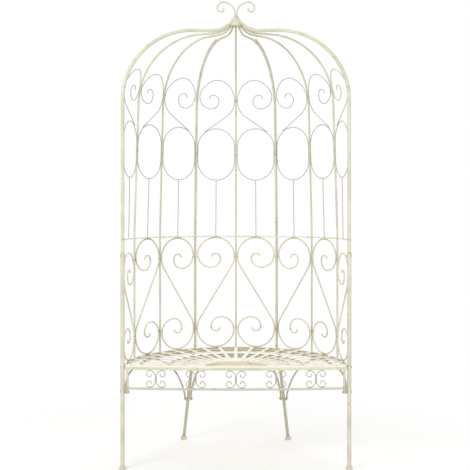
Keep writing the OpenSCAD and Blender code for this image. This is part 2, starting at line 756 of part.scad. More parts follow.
// Each grip runs from under the head to the face that the nut bears on
module seam_bolts() {
    grip = rod_d + seam_off + 2 * weld_gap;
    head = seam_off + rod_d / 2 + weld_gap;
    color("darkkhaki") for (side = [0, 1]) {
        mirror([side, 0, 0]) {
            for (k = [0:len(seam_bolt_h) - 1]) {
                seam_frame(k) translate([0, 0, head]) bolt(small_bolt_d, grip);
            }
            for (k = [0:len(seam_bolt_turn) - 1]) {
                shoulder_frame(k) translate([0, 0, head]) bolt(small_bolt_d, grip);
            }
        }
    }
}

module seam_nuts() {
    seat = rod_d / 2 + weld_gap;
    color("darkkhaki") for (side = [0, 1]) {
        mirror([side, 0, 0]) {
            for (k = [0:len(seam_bolt_h) - 1]) {
                seam_frame(k) translate([0, 0, -seat]) nut(small_bolt_d);
            }
            for (k = [0:len(seam_bolt_turn) - 1]) {
                shoulder_frame(k) translate([0, 0, -seat]) nut(small_bolt_d);
            }
        }
    }
}

module seat_bolts() {
    head = post_d / 2 + weld_gap;
    seat = front_r - rim_in + weld_gap;
    color("darkkhaki") for (side = [0, 1]) {
        mirror([side, 0, 0]) post_frame(seat_bolt_h) translate([0, 0, head]) bolt(small_bolt_d, head + seat);
    }
}

module seat_nuts() {
    seat = front_r - rim_in + weld_gap;
    color("darkkhaki") for (side = [0, 1]) {
        mirror([side, 0, 0]) post_frame(seat_bolt_h) translate([0, 0, -seat]) nut(small_bolt_d);
    }
}

// Large bolts: arch sleeves, the stacks on the front posts, and the braces on the rear legs
module frame_bolts() {
    post_head = post_d / 2 + weld_gap;
    stack_seat = upright_out + apron_d / 2 + weld_gap;
    color("darkkhaki") for (side = [0, 1]) {
        mirror([side, 0, 0]) {
            post_frame(sleeve_bolt_h) translate([0, 0, post_head]) bolt(large_bolt_d, 2 * post_head);
            stack_frame() translate([0, 0, post_head]) bolt(large_bolt_d, post_head + stack_seat);
            leg_frame() translate([0, 0, leg_bolt_head]) bolt(large_bolt_d, leg_bolt_head + leg_nut_seat);
        }
    }
}

module frame_nuts() {
    post_head = post_d / 2 + weld_gap;
    stack_seat = upright_out + apron_d / 2 + weld_gap;
    color("darkkhaki") for (side = [0, 1]) {
        mirror([side, 0, 0]) {
            post_frame(sleeve_bolt_h) translate([0, 0, -post_head]) nut(large_bolt_d);
            stack_frame() translate([0, 0, -stack_seat]) nut(large_bolt_d);
            leg_frame() translate([0, 0, -leg_nut_seat]) nut(large_bolt_d);
        }
    }
}

cage() left() front_post();  // front_post_left
cage() front_post();  // front_post_right
cage() left() front_arch();  // front_arch_left
cage() front_arch();  // front_arch_right
cage() back_rod(0, bar_bottom);  // back_rod_centre
cage() left() back_edge_rod();  // back_edge_rod_left
cage() back_edge_rod();  // back_edge_rod_right
cage() left() side_edge_rod();  // side_edge_rod_left
cage() side_edge_rod();  // side_edge_rod_right
cage() left() back_rod(2 * bay_angle, bar_bottom);  // side_rear_rod_left
cage() back_rod(2 * bay_angle, bar_bottom);  // side_rear_rod_right
cage() left() back_rod(3 * bay_angle, bar_bottom);  // side_front_rod_left
cage() back_rod(3 * bay_angle, bar_bottom);  // side_front_rod_right
cage() arm_ring_back();
cage() left() arm_ring_side();  // arm_ring_left
cage() arm_ring_side();  // arm_ring_right
cage() left() large_scroll(1, 0);  // scroll_back_left
cage() large_scroll(1, 0);  // scroll_back_right
cage() left() large_scroll(1, 2);  // scroll_rear_left
cage() large_scroll(1, 2);  // scroll_rear_right
cage() left() large_scroll(3, 2);  // scroll_middle_left
cage() large_scroll(3, 2);  // scroll_middle_right
cage() left() large_scroll(3, 4);  // scroll_front_left
cage() large_scroll(3, 4);  // scroll_front_right
cage() for (m = [0, 1]) mirror([m, 0, 0]) half_heart(1, 0);  // hearts_back
cage() left() for (b = SIDE_BAYS) half_heart(b[0], b[1]);  // hearts_left
cage() for (b = SIDE_BAYS) half_heart(b[0], b[1]);  // hearts_right
cage() for (m = [0, 1]) mirror([m, 0, 0]) oval(1, 0);  // ovals_back
cage() left() for (b = SIDE_BAYS) oval(b[0], b[1]);  // ovals_left
cage() for (b = SIDE_BAYS) oval(b[0], b[1]);  // ovals_right
cage() for (m = [0, 1]) mirror([m, 0, 0]) spindle(1, 0);  // spindles_back
cage() left() for (b = SIDE_BAYS) spindle(b[0], b[1]);  // spindles_left
cage() for (b = SIDE_BAYS) spindle(b[0], b[1]);  // spindles_right
cage() seat_rim();
cage() seat_front_rail();
cage() seat_hub();
cage() seat_hub_plate();
cage() seat_bearer(bearer_r[0]);  // seat_bearer_inner
cage() seat_bearer(bearer_r[1]);  // seat_bearer_outer
cage() seat_slats();
cage() apron_rail();
cage() for (m = [0, 1]) mirror([m, 0, 0]) apron_upright();  // apron_uprights
cage() apron_scrolls();
cage() left() rear_leg();  // rear_leg_left
cage() rear_leg();  // rear_leg_right
cage() left() rear_braces();  // rear_braces_left
cage() rear_braces();  // rear_braces_right
cage() for (m = [0, 1]) mirror([m, 0, 0]) front_brace();  // front_braces
cage() feet();
cage() crown();
cage() finial();  // finial_left
cage() left() finial();  // finial_right
cage() seam_bolts();
cage() seam_nuts();
cage() seat_bolts();
cage() seat_nuts();
cage() frame_bolts();
cage() frame_nuts();
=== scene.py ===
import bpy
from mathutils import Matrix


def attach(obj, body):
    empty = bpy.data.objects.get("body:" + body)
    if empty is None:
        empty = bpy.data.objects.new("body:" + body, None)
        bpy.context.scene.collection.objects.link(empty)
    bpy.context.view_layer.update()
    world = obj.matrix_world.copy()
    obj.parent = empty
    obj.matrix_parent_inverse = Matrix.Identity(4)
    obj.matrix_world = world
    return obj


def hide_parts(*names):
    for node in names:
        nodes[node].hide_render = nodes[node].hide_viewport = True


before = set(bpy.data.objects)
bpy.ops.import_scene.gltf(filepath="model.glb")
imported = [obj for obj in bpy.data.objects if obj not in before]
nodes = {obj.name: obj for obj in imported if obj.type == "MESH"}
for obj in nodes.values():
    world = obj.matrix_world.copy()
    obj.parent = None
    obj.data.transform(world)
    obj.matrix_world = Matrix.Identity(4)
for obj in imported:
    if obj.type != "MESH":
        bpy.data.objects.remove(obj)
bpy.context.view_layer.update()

import math
import random

import bpy
from mathutils import Matrix, Vector, kdtree

bpy.ops.object.select_all(action="DESELECT")
scene = bpy.context.scene
scene.view_settings.view_transform = "Standard"

# The photographer's camera. It stands level with the middle of the bench, about four metres in
# front of it, and its lens is shifted down so that the feet and the finial both fit the frame.
camera_data = bpy.data.cameras.new("camera")
camera_data.lens = 70.7
camera_data.sensor_width = 36.0
camera_data.shift_x = -0.0019
camera_data.shift_y = -0.0543
camera_data.clip_end = 60.0
camera = bpy.data.objects.new("camera", camera_data)
camera.location = (0.0, -4.354, 1.152)
camera.rotation_euler = (math.radians(90), 0.0, 0.0)
scene.collection.objects.link(camera)
scene.camera = camera


# A plain pale studio: a matt floor that keeps the bench's shadow, two large soft lamps in front,
# a weaker one from above and behind, and an even white surround.
def soft_lamp(name, place, aim, size, power):
    data = bpy.data.lights.new(name, "AREA")
    data.shape = "SQUARE"
    data.size = size
    data.energy = power
    lamp = bpy.data.objects.new(name, data)
    lamp.location = place
    lamp.rotation_euler = (Vector(aim) - Vector(place)).to_track_quat("-Z", "Y").to_euler()
    scene.collection.objects.link(lamp)


soft_lamp("key_lamp", (-2.6, -3.4, 3.2), (0.0, 0.0, 0.9), 1.8, 90)
soft_lamp("fill_lamp", (2.9, -3.0, 1.6), (0.0, 0.0, 0.9), 2.2, 36)
soft_lamp("top_lamp", (0.4, 1.4, 3.6), (0.0, 0.0, 1.0), 2.0, 40)

world = bpy.data.worlds.new("studio")
scene.world = world
world.use_nodes = True
tree = world.node_tree
tree.nodes.clear()
out = tree.nodes.new("ShaderNodeOutputWorld")
shown = tree.nodes.new("ShaderNodeBackground")
shown.inputs["Color"].default_value = (1, 1, 1, 1)
shown.inputs["Strength"].default_value = 1.0
lighting = tree.nodes.new("ShaderNodeBackground")
lighting.inputs["Color"].default_value = (1.0, 0.985, 0.96, 1)
lighting.inputs["Strength"].default_value = 0.62
path = tree.nodes.new("ShaderNodeLightPath")
seen = tree.nodes.new("ShaderNodeMath")
seen.operation = "MAXIMUM"
seen_through = tree.nodes.new("ShaderNodeMath")
seen_through.operation = "MAXIMUM"
pick = tree.nodes.new("ShaderNodeMixShader")
tree.links.new(path.outputs["Is Camera Ray"], seen.inputs[0])
tree.links.new(path.outputs["Is Glossy Ray"], seen.inputs[1])
tree.links.new(seen.outputs[0], seen_through.inputs[0])
tree.links.new(path.outputs["Is Transmission Ray"], seen_through.inputs[1])
tree.links.new(seen_through.outputs[0], pick.inputs[0])
tree.links.new(lighting.outputs[0], pick.inputs[1])
tree.links.new(shown.outputs[0], pick.inputs[2])
tree.links.new(pick.outputs[0], out.inputs["Surface"])

bpy.ops.mesh.primitive_plane_add(size=30.0, location=(0.0, 0.0, -0.0005))
floor = bpy.context.active_object
floor.name = "floor"
floor_mat = bpy.data.materials.new("floor")
floor_mat.use_nodes = True
tree = floor_mat.node_tree
tree.nodes.clear()
out = tree.nodes.new("ShaderNodeOutputMaterial")
matt = tree.nodes.new("ShaderNodeBsdfDiffuse")
matt.inputs["Color"].default_value = (0.86, 0.86, 0.85, 1)
white = tree.nodes.new("ShaderNodeEmission")
white.inputs["Color"].default_value = (1, 1, 1, 1)
white.inputs["Strength"].default_value = 1.0
coords = tree.nodes.new("ShaderNodeTexCoord")
far = tree.nodes.new("ShaderNodeVectorMath")
far.operation = "LENGTH"
fade = tree.nodes.new("ShaderNodeMapRange")
fade.interpolation_type = "SMOOTHSTEP"
fade.inputs["From Min"].default_value = 0.35
fade.inputs["From Max"].default_value = 1.7
path = tree.nodes.new("ShaderNodeLightPath")
seen = tree.nodes.new("ShaderNodeMath")
seen.operation = "MULTIPLY"
lift = tree.nodes.new("ShaderNodeMath")
lift.operation = "MULTIPLY"
lift.inputs[1].default_value = 0.12
paler = tree.nodes.new("ShaderNodeEmission")
both = tree.nodes.new("ShaderNodeAddShader")
pick = tree.nodes.new("ShaderNodeMixShader")
tree.links.new(path.outputs["Is Camera Ray"], lift.inputs[0])
tree.links.new(lift.outputs[0], paler.inputs["Strength"])
tree.links.new(matt.outputs[0], both.inputs[0])
tree.links.new(paler.outputs[0], both.inputs[1])
tree.links.new(coords.outputs["Object"], far.inputs[0])
tree.links.new(far.outputs["Value"], fade.inputs["Value"])
tree.links.new(fade.outputs["Result"], seen.inputs[0])
tree.links.new(path.outputs["Is Camera Ray"], seen.inputs[1])
tree.links.new(seen.outputs[0], pick.inputs[0])
tree.links.new(both.outputs[0], pick.inputs[1])
tree.links.new(white.outputs[0], pick.inputs[2])
tree.links.new(pick.outputs[0], out.inputs["Surface"])
floor.data.materials.append(floor_mat)


# The four feet are small flared caps of pressed steel, pushed over the ends of the legs. Like all
# of the bench they carry antique cream paint, worn to rust where they scrape over the terrace.
def worn_paint_group():
    """Antique paint: cloudy cream, stains, and flecks where it has come off down to rust."""
    group = bpy.data.node_groups.new("WornPaint", "ShaderNodeTree")
    face = group.interface
    for name, kind, value in (
        ("Paint", "NodeSocketColor", (0.8, 0.76, 0.61, 1)),
        ("Shade", "NodeSocketColor", (0.62, 0.6, 0.45, 1)),
        ("Stain", "NodeSocketColor", (0.46, 0.37, 0.2, 1)),
        ("Rust", "NodeSocketColor", (0.21, 0.115, 0.05, 1)),
        ("Joint and Shade", "NodeSocketFloat", 0.0),
        ("Wear", "NodeSocketFloat", 0.3),
        ("Cloud Size", "NodeSocketFloat", 9.0),
        ("Fleck Size", "NodeSocketFloat", 190.0),
        ("Offset", "NodeSocketFloat", 0.0),
    ):
        socket = face.new_socket(name=name, in_out="INPUT", socket_type=kind)
        socket.default_value = value
    for name, kind in (
        ("Color", "NodeSocketColor"),
        ("Roughness", "NodeSocketFloat"),
        ("Height", "NodeSocketFloat"),
    ):
        face.new_socket(name=name, in_out="OUTPUT", socket_type=kind)
    make = group.nodes.new
    link = group.links.new
    given = make("NodeGroupInput").outputs
    result = make("NodeGroupOutput").inputs
    coords = make("ShaderNodeTexCoord")
    move = make("ShaderNodeVectorMath")
    move.operation = "ADD"
    link(coords.outputs["Object"], move.inputs[0])
    link(given["Offset"], move.inputs[1])

    def noise(size, detail, rough, stretch=None):
        source = move.outputs[0]
        if stretch:
            scale = make("ShaderNodeVectorMath")
            scale.operation = "MULTIPLY"
            scale.inputs[1].default_value = stretch
            link(source, scale.inputs[0])
            source = scale.outputs[0]
        n = make("ShaderNodeTexNoise")
        n.inputs["Detail"].default_value = detail
        n.inputs["Roughness"].default_value = rough
        link(source, n.inputs["Vector"])
        if isinstance(size, float):
            n.inputs["Scale"].default_value = size
        else:
            link(size, n.inputs["Scale"])
        return n.outputs["Fac"]

    def ramp(value, low, high, to_low=0.0, to_high=1.0):
        m = make("ShaderNodeMapRange")
        m.interpolation_type = "SMOOTHSTEP"
        link(value, m.inputs["Value"])
        m.inputs["From Min"].default_value = low
        m.inputs["From Max"].default_value = high
        m.inputs["To Min"].default_value = to_low
        m.inputs["To Max"].default_value = to_high
        return m.outputs["Result"]

    def sums(op, a, b):
        m = make("ShaderNodeMath")
        m.operation = op
        for i, v in ((0, a), (1, b)):
            if isinstance(v, (int, float)):
                m.inputs[i].default_value = v
            else:
                link(v, m.inputs[i])
        return m.outputs[0]

    def mix(fac, a, b, blend="MIX"):
        m = make("ShaderNodeMix")
        m.data_type = "RGBA"
        m.blend_type = blend
        link(fac, m.inputs["Factor"])
        for i, v in ((6, a), (7, b)):
            if isinstance(v, tuple):
                m.inputs[i].default_value = v
            else:
                link(v, m.inputs[i])
        return m.outputs[2]

    cloud = noise(given["Cloud Size"], 3.0, 0.55)
    streak = noise(60.0, 3.0, 0.6, (1.0, 1.0, 0.16))
    fleck = noise(given["Fleck Size"], 4.0, 0.62)
    patch = noise(34.0, 3.0, 0.6)
    brush = noise(420.0, 2.0, 0.5, (1.0, 1.0, 0.3))
    clouded = sums("MULTIPLY", ramp(cloud, 0.38, 0.66), 0.55)
    shaded = mix(clouded, given["Paint"], given["Shade"])
    streaks = sums("MULTIPLY", ramp(streak, 0.52, 0.72), 0.32)
    streaked = mix(streaks, shaded, given["Shade"])
    base = sums("ADD", sums("MULTIPLY", fleck, 0.55), sums("MULTIPLY", patch, 0.45))
    worn = sums("ADD", base, sums("MULTIPLY", given["Wear"], 0.08))
    stain = ramp(sums("ADD", worn, sums("MULTIPLY", given["Joint and Shade"], 0.2)), 0.565, 0.73)
    bare = ramp(sums("ADD", worn, sums("MULTIPLY", given["Joint and Shade"], 0.07)), 0.66, 0.70)
    stained = mix(sums("MULTIPLY", stain, 0.5), streaked, given["Stain"])
    rust = mix(ramp(brush, 0.4, 0.62), given["Rust"], (0.33, 0.17, 0.07, 1))
    link(mix(bare, stained, rust), result["Color"])
    brushed = sums("ADD", sums("MULTIPLY", brush, 0.12), 0.42)
    link(sums("ADD", sums("MULTIPLY", bare, 0.33), brushed), result["Roughness"])
    level = sums("SUBTRACT", sums("MULTIPLY", brush, 0.25), sums("MULTIPLY", bare, 0.6))
    link(sums("ADD", level, sums("MULTIPLY", patch, 0.35)), result["Height"])
    return group


worn_paint = worn_paint_group()
CREAM = (0.715, 0.695, 0.55, 1)
CREAM_SHADE = (0.55, 0.535, 0.415, 1)


class Tree:
    """Short words for the nodes of one material."""

    def __init__(self, name):
        self.mat = bpy.data.materials.new(name)
        self.mat.use_nodes = True
        self.tree = self.mat.node_tree
        self.tree.nodes.clear()
        self.coords = self.tree.nodes.new("ShaderNodeTexCoord").outputs["Object"]
        self.parts = self.tree.nodes.new("ShaderNodeSeparateXYZ")
        self.tree.links.new(self.coords, self.parts.inputs[0])
        self.tints = []

    def link(self, a, b):
        self.tree.links.new(a, b)

    def math(self, op, a, b=None):
        m = self.tree.nodes.new("ShaderNodeMath")
        m.operation = op
        for i, v in enumerate((a, b)):
            if v is None:
                continue
            if isinstance(v, (int, float)):
                m.inputs[i].default_value = v
            else:
                self.link(v, m.inputs[i])
        return m.outputs[0]

    def fade(self, value, full, none):
        """1 where value is at full, 0 where it is at none."""
        m = self.tree.nodes.new("ShaderNodeMapRange")
        m.interpolation_type = "SMOOTHSTEP"
        self.link(value, m.inputs["Value"])
        low, high = min(full, none), max(full, none)
        m.inputs["From Min"].default_value = low
        m.inputs["From Max"].default_value = high
        m.inputs["To Min"].default_value = 1.0 if full <= none else 0.0
        m.inputs["To Max"].default_value = 0.0 if full <= none else 1.0
        return m.outputs["Result"]

    def near(self, value, place, width):
        """1 where value is at place, 0 from width away."""
        return self.fade(self.math("ABSOLUTE", self.math("SUBTRACT", value, place)), 0.0, width)

    def any_of(self, masks):
        total = masks[0]
        for mask in masks[1:]:
            total = self.math("MAXIMUM", total, mask)
        return total

    def heights(self, places, width):
        return self.any_of([self.near(self.height(), z, width) for z in places])

    def radius(self, x, y):
        """Distance from the upright line at x and y."""
        dx = self.math("SUBTRACT", self.parts.outputs["X"], x)
        dy = self.math("SUBTRACT", self.parts.outputs["Y"], y)
        squares = [self.math("POWER", part, 2.0) for part in (dx, dy)]
        return self.math("SQRT", self.math("ADD", *squares))

    def height(self):
        return self.parts.outputs["Z"]

    def tint(self, mask, colour):
        """Paint of another colour where mask is 1."""
        self.tints.append((mask, colour))

    def mixed(self, mask, under, over):
        m = self.tree.nodes.new("ShaderNodeMix")
        m.data_type = "RGBA"
        self.link(mask, m.inputs["Factor"])
        for i, v in ((6, under), (7, over)):
            if isinstance(v, tuple):
                m.inputs[i].default_value = v
            else:
                self.link(v, m.inputs[i])
        return m.outputs[2]

    def painted(self, joint_and_shade, wear, offset, paint=CREAM, shade=CREAM_SHADE, cloud=9.0, fleck=190.0):
        """Ends the material: worn paint with more rust where joint_and_shade is 1, at joints and
        where painted shade is given.
        """
        group = self.tree.nodes.new("ShaderNodeGroup")
        group.node_tree = worn_paint
        for name, colour in (("Paint", paint), ("Shade", shade)):
            group.inputs[name].default_value = colour
            for mask, over in self.tints:
                colour = self.mixed(mask, colour, over)
            if self.tints:
                self.link(colour, group.inputs[name])
        group.inputs["Wear"].default_value = wear
        group.inputs["Offset"].default_value = offset
        group.inputs["Cloud Size"].default_value = cloud
        group.inputs["Fleck Size"].default_value = fleck
        if isinstance(joint_and_shade, float):
            group.inputs["Joint and Shade"].default_value = joint_and_shade
        else:
            self.link(joint_and_shade, group.inputs["Joint and Shade"])
        shader = self.tree.nodes.new("ShaderNodeBsdfPrincipled")
        shader.inputs["Specular IOR Level"].default_value = 0.4
        bump = self.tree.nodes.new("ShaderNodeBump")
        bump.inputs["Strength"].default_value = 0.55
        bump.inputs["Distance"].default_value = 0.0006
        out = self.tree.nodes.new("ShaderNodeOutputMaterial")
        self.link(group.outputs["Color"], shader.inputs["Base Color"])
        self.link(group.outputs["Roughness"], shader.inputs["Roughness"])
        self.link(group.outputs["Height"], bump.inputs["Height"])
        self.link(bump.outputs["Normal"], shader.inputs["Normal"])
        self.link(shader.outputs[0], out.inputs["Surface"])
        return self.mat


def finish(material, *names):
    """Gives some of the part's pieces their paint."""
    for name in names:
        data = nodes[name].data
        data.materials.clear()
        data.materials.append(material)


t = Tree("foot_paint")
joints = t.math("MULTIPLY", t.heights([0.0], 0.008), 0.5)
finish(t.painted(joints, wear=0.4, offset=3.1, paint=(0.66, 0.65, 0.55, 1)), "feet")

# The posts are two steel tubes that stand in the front feet and take the arch tubes at arm height.
# Their paint is worn at both ends, and stained on the inside by the bolts of the brace and the rim.
FOOT_TOP = 0.016
SLEEVE = 0.955
t = Tree("post_paint")
inside = t.fade(t.math("ABSOLUTE", t.parts.outputs["X"]), 0.494, 0.500)
bolted = t.math("MULTIPLY", inside, t.heights([0.343, 0.452], 0.012))
joints = t.any_of([bolted, t.math("MULTIPLY", t.heights([FOOT_TOP, SLEEVE - 0.002], 0.007), 0.6)])
finish(t.painted(joints, wear=0.4, offset=1.7), "front_post_left", "front_post_right")

# The splayed rear legs are thinner tubes, welded under the seat's rim. Each carries two braces of
# round bar, bent to quarter circles, bolted to it and welded under the seat's bars. Two smaller
# braces run from the front posts back to the seat.
CAGE_Y = -213.817
UNDER_SEAT = 0.452
BRACE_HEADS = ((59.5, 493.3, 442), (12.5, 300, 445), (81.8, 430, 444.8))
SIDES = (1, -1)
UP = Vector((0.0, 0.0, 1.0))
random.seed(12)


def choose(piece, test):
    """Selects the points of a piece that pass a test, and leaves it in edit mode."""
    bpy.context.view_layer.objects.active = piece
    bpy.ops.object.mode_set(mode="EDIT")
    bpy.ops.mesh.select_mode(type="VERT")
    bpy.ops.mesh.select_all(action="DESELECT")
    bpy.ops.object.mode_set(mode="OBJECT")
    for point in piece.data.vertices:
        point.select = test(point.co)
    bpy.ops.object.mode_set(mode="EDIT")


def weld_run():
    """A short run of weld along X: a rippled ridge with blunt ends, one thick and one long."""
    bpy.ops.mesh.primitive_uv_sphere_add(segments=8, ring_count=8, radius=0.5,
                                         rotation=(0, math.radians(90), 0))
    run = bpy.context.active_object
    bpy.ops.object.transform_apply(location=True, rotation=True, scale=True)
    for place, grow in ((0.0, 0.84), (0.191, 1.09), (0.354, 1.02), (0.462, 1.45)):
        choose(run, lambda point: abs(abs(point.x) - place) < 0.02)
        bpy.ops.transform.resize(value=(1.0, grow, grow))
        bpy.ops.object.mode_set(mode="OBJECT")
    bpy.ops.object.shade_smooth()
    return run


run_of_weld = weld_run()
t = Tree("weld_paint")
weld_paint = t.painted(0.75, wear=0.55, offset=1.9, paint=(0.70, 0.655, 0.50, 1), fleck=320.0)


def spot(angle, radius, height, side=1):
    """A place in the cage in metres, from the angle off the middle of the back and millimetres."""
    turn = math.radians(angle)
    return Vector((side * radius * math.sin(turn), radius * math.cos(turn) + CAGE_Y, height)) / 1000


def along(angle, side=1):
    """The level direction round the cage at an angle."""
    turn = math.radians(angle)
    return Vector((side * math.cos(turn), -math.sin(turn), 0.0))


def set_copies(name, shape, places, material):
    """One piece of copies of a shape, one for each (place, direction, length, width)."""
    bpy.ops.object.select_all(action="DESELECT")
    for place, direction, length, width in places:
        copy = shape.copy()
        copy.data = shape.data.copy()
        turn = direction.to_track_quat("X", "Z").to_matrix().to_4x4()
        roll = Matrix.Rotation(random.uniform(0.0, 6.28), 4, "X")
        wide = width * random.uniform(0.9, 1.12) / 1000
        copy.data.transform(Matrix.Translation(place) @ turn @ roll
                            @ Matrix.Diagonal((length / 1000, wide, wide, 1.0)))
        scene.collection.objects.link(copy)
        copy.select_set(True)
        bpy.context.view_layer.objects.active = copy
    bpy.ops.object.join()
    piece = bpy.context.active_object
    piece.name = name
    piece.data.materials.clear()
    piece.data.materials.append(material)
    piece.select_set(False)
    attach(piece, "root")


t = Tree("leg_paint")
joints = t.heights([FOOT_TOP, 0.207, UNDER_SEAT], 0.016)
leg_paint = t.painted(joints, wear=0.45, offset=5.3, paint=(0.56, 0.545, 0.41, 1),
                      shade=(0.42, 0.40, 0.28, 1))
finish(leg_paint, "rear_leg_left", "rear_leg_right")
t = Tree("brace_paint")
joints = t.heights([0.203, 0.340, 0.440], 0.012)
brace_paint = t.painted(joints, wear=0.5, offset=8.2, paint=(0.50, 0.47, 0.36, 1),
                        shade=(0.38, 0.35, 0.25, 1))
finish(brace_paint, "rear_braces_left", "rear_braces_right", "front_braces")
places = []
for side in SIDES:
    for shift in (-0.95, 0.95):
        places.append((spot(24.6 + shift, 497.2, 452, side), UP, 17, 4.2))
    for angle, radius, height in BRACE_HEADS:
        for off in (-2.9, 2.9):
            place = spot(angle, radius + off, height, side)
            places.append((place, along(angle, side), 9, 3.2))
set_copies("leg_welds", run_of_weld, places, weld_paint)

# The seat's frame is flat steel bar on edge: a half-round rim, and a bowed front rail with the ends
# of the bearers and the hub welded to its back. The top edges of the rail and the hub are painted
# paler, a painted highlight, and a dark brown band along the inside under the slats is painted
# shade, with rust.
SEAT = 0.463
PALE = (0.86, 0.84, 0.74, 1)
PALE_SHADE = (0.76, 0.73, 0.62, 1)
t = Tree("rail_paint")
lower_edge = t.math("MULTIPLY", t.heights([SEAT - 0.020], 0.006), 0.45)
# The top edge of the rail is painted paler: a painted highlight where the light falls on it.
t.tint(t.fade(t.height(), 0.4585, 0.4535), (0.88, 0.86, 0.76, 1))
finish(t.painted(lower_edge, wear=0.4, offset=2.4, paint=(0.72, 0.705, 0.57, 1)), "seat_front_rail")
t = Tree("rim_paint")
# A dark brown band is painted along the rim just under the slats: painted shade where the slats
# cover it, with rust.
t.tint(t.near(t.height(), 0.4575, 0.0065), (0.44, 0.34, 0.22, 1))
finish(t.painted(0.1, wear=0.5, offset=7.4, paint=PALE, shade=PALE_SHADE), "seat_rim")
t = Tree("bearer_paint")
# The same dark band on the bearers: painted shade under the slats, with rust.
t.tint(t.near(t.height(), 0.4575, 0.008), (0.34, 0.31, 0.19, 1))
bearer_paint = t.painted(0.1, wear=0.5, offset=3.4, paint=PALE, shade=PALE_SHADE)
finish(bearer_paint, "seat_bearer_inner", "seat_bearer_outer")
BOW = 3997.5
RAIL_Y = -79.257


def on_bow(x, height, behind=0.0, side=1):
    """A place on the bowed front of the seat, x millimetres from the middle."""
    y = RAIL_Y + BOW - math.sqrt(BOW * BOW - x * x) + behind
    return Vector((side * x, y + CAGE_Y, height)) / 1000


places = []
for side in SIDES:
    for x, low, high in ((135.6, 450, 462), (142.0, 450, 462), (289.6, 446, 459), (294.4, 446, 459),
                         (423.4, 446, 459), (428.6, 446, 459), (486.4, 444, 462)):
        places.append((on_bow(x, (low + high) / 2, 2.6, side), UP, high - low, 3.0))
set_copies("seat_frame_welds", run_of_weld, places, weld_paint)

# Twenty-one slats of flat steel fan out from the middle of the front rail. They are painted the
# palest of all pieces. Each is cut to the curve of the rim, and welded from below to it, to the
# hub and to the bearers.
HUB = 141.0
BEARERS = (300, 430)
RIM = 491.0
SLAT_TURN = 8.4
FAN_Y = (CAGE_Y + RAIL_Y) / 1000
AXIS_Y = CAGE_Y / 1000


def apply(piece, kind, **settings):
    """One modifier, set and applied."""
    bpy.ops.object.select_all(action="DESELECT")
    bpy.context.view_layer.objects.active = piece
    piece.select_set(True)
    change = piece.modifiers.new(kind.lower(), kind)
    for name, value in settings.items():
        setattr(change, name, value)
    bpy.ops.object.modifier_apply(modifier=change.name)
    piece.select_set(False)


def stand_for(piece, name, material, slot, *replaced):
    """Names a finished piece, gives it its paint and puts it in the place of its solids."""
    piece.name = name
    piece.data.materials.clear()
    piece.data.materials.append(material)
    piece.select_set(False)
    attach(piece, "root")
    if replaced:
        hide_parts(*replaced)


t = Tree("slat_paint")
ahead_of_fan = t.math("SUBTRACT", t.parts.outputs["Y"], FAN_Y)
bearing = t.math("ARCTAN2", t.parts.outputs["X"], ahead_of_fan)
turn = math.radians(SLAT_TURN)
off_line = t.math("FLOORED_MODULO", t.math("ADD", bearing, turn / 2), turn)
off_line = t.math("SUBTRACT", off_line, turn / 2)
reach = t.radius(0.0, FAN_Y)
from_line = t.math("ABSOLUTE", t.math("MULTIPLY", t.math("SINE", off_line), reach))
edges = t.math("MULTIPLY", t.fade(from_line, 0.0085, 0.0066), 0.9)
ends = t.any_of([t.near(reach, HUB / 1000, 0.008), t.near(t.radius(0.0, AXIS_Y), RIM / 1000, 0.01)])
slat_paint = t.painted(t.any_of([edges, ends]), wear=0.1, offset=6.6,
                       paint=(0.92, 0.905, 0.82, 1), shade=(0.80, 0.775, 0.67, 1), cloud=14.0)
bpy.ops.mesh.primitive_cube_add(size=1.0)
slat = bpy.context.active_object
slat.scale = (0.017, 0.6, 0.003)
bpy.ops.object.transform_apply(location=True, rotation=True, scale=True)
apply(slat, "BEVEL", width=0.0006, segments=2)
bpy.ops.object.select_all(action="DESELECT")
places = []
for k in range(-10, 11):
    turn = math.radians(SLAT_TURN * k)
    ahead = Vector((math.sin(turn), math.cos(turn), 0.0))
    across = Vector((ahead.y, -ahead.x, 0.0))
    start = Vector((0.0, FAN_Y, 0.0)) + ahead * (HUB / 1000 + 0.0002)
    copy = slat.copy()
    copy.data = slat.data.copy()
    middle = start + ahead * 0.3 + UP * 0.4615
    copy.data.transform(Matrix.Translation(middle) @ Matrix.Rotation(-turn, 4, "Z"))
    scene.collection.objects.link(copy)
    copy.select_set(True)
    bpy.context.view_layer.objects.active = copy
    places.append((start + UP * 0.4602, across, 11, 2.6))
    for radius in BEARERS + (RIM,):
        at_rim = radius == RIM
        near = -RAIL_Y * ahead.y
        reach = near + math.sqrt(near * near - RAIL_Y * RAIL_Y + radius * radius)
        place = Vector((reach * ahead.x, RAIL_Y + reach * ahead.y + CAGE_Y,
                        460.2 if at_rim else 459.8)) / 1000
        for off in (0.0,) if at_rim else (-0.0026, 0.0026):
            places.append((place + ahead * off, across, 11, 2.6 if at_rim else 2.8))
bpy.ops.object.join()
slats = bpy.context.active_object
bpy.ops.mesh.primitive_cylinder_add(vertices=256, radius=RIM / 1000 - 0.0002, depth=0.1,
                                    location=(0.0, AXIS_Y, 0.46))
inside_rim = bpy.context.active_object
bpy.ops.object.transform_apply(location=True, rotation=True, scale=True)
apply(slats, "BOOLEAN", operation="INTERSECT", object=inside_rim, solver="EXACT")
stand_for(slats, "slats", slat_paint, "seat_paint", "seat_slats")
for shape in (slat, inside_rim):
    bpy.data.objects.remove(shape, do_unlink=True)
set_copies("slat_welds", run_of_weld, places, weld_paint)

# The hub is a flat steel bar bent to a half circle and welded against the middle of the rail, and
# the innermost bearer is bent in the same way. A sheet closes the hub from below. On the sheet a
# darker line along the foot of the band and a darker arc further in are painted shade.
HUB_BACK = FAN_Y + 0.0046
t = Tree("hub_paint")
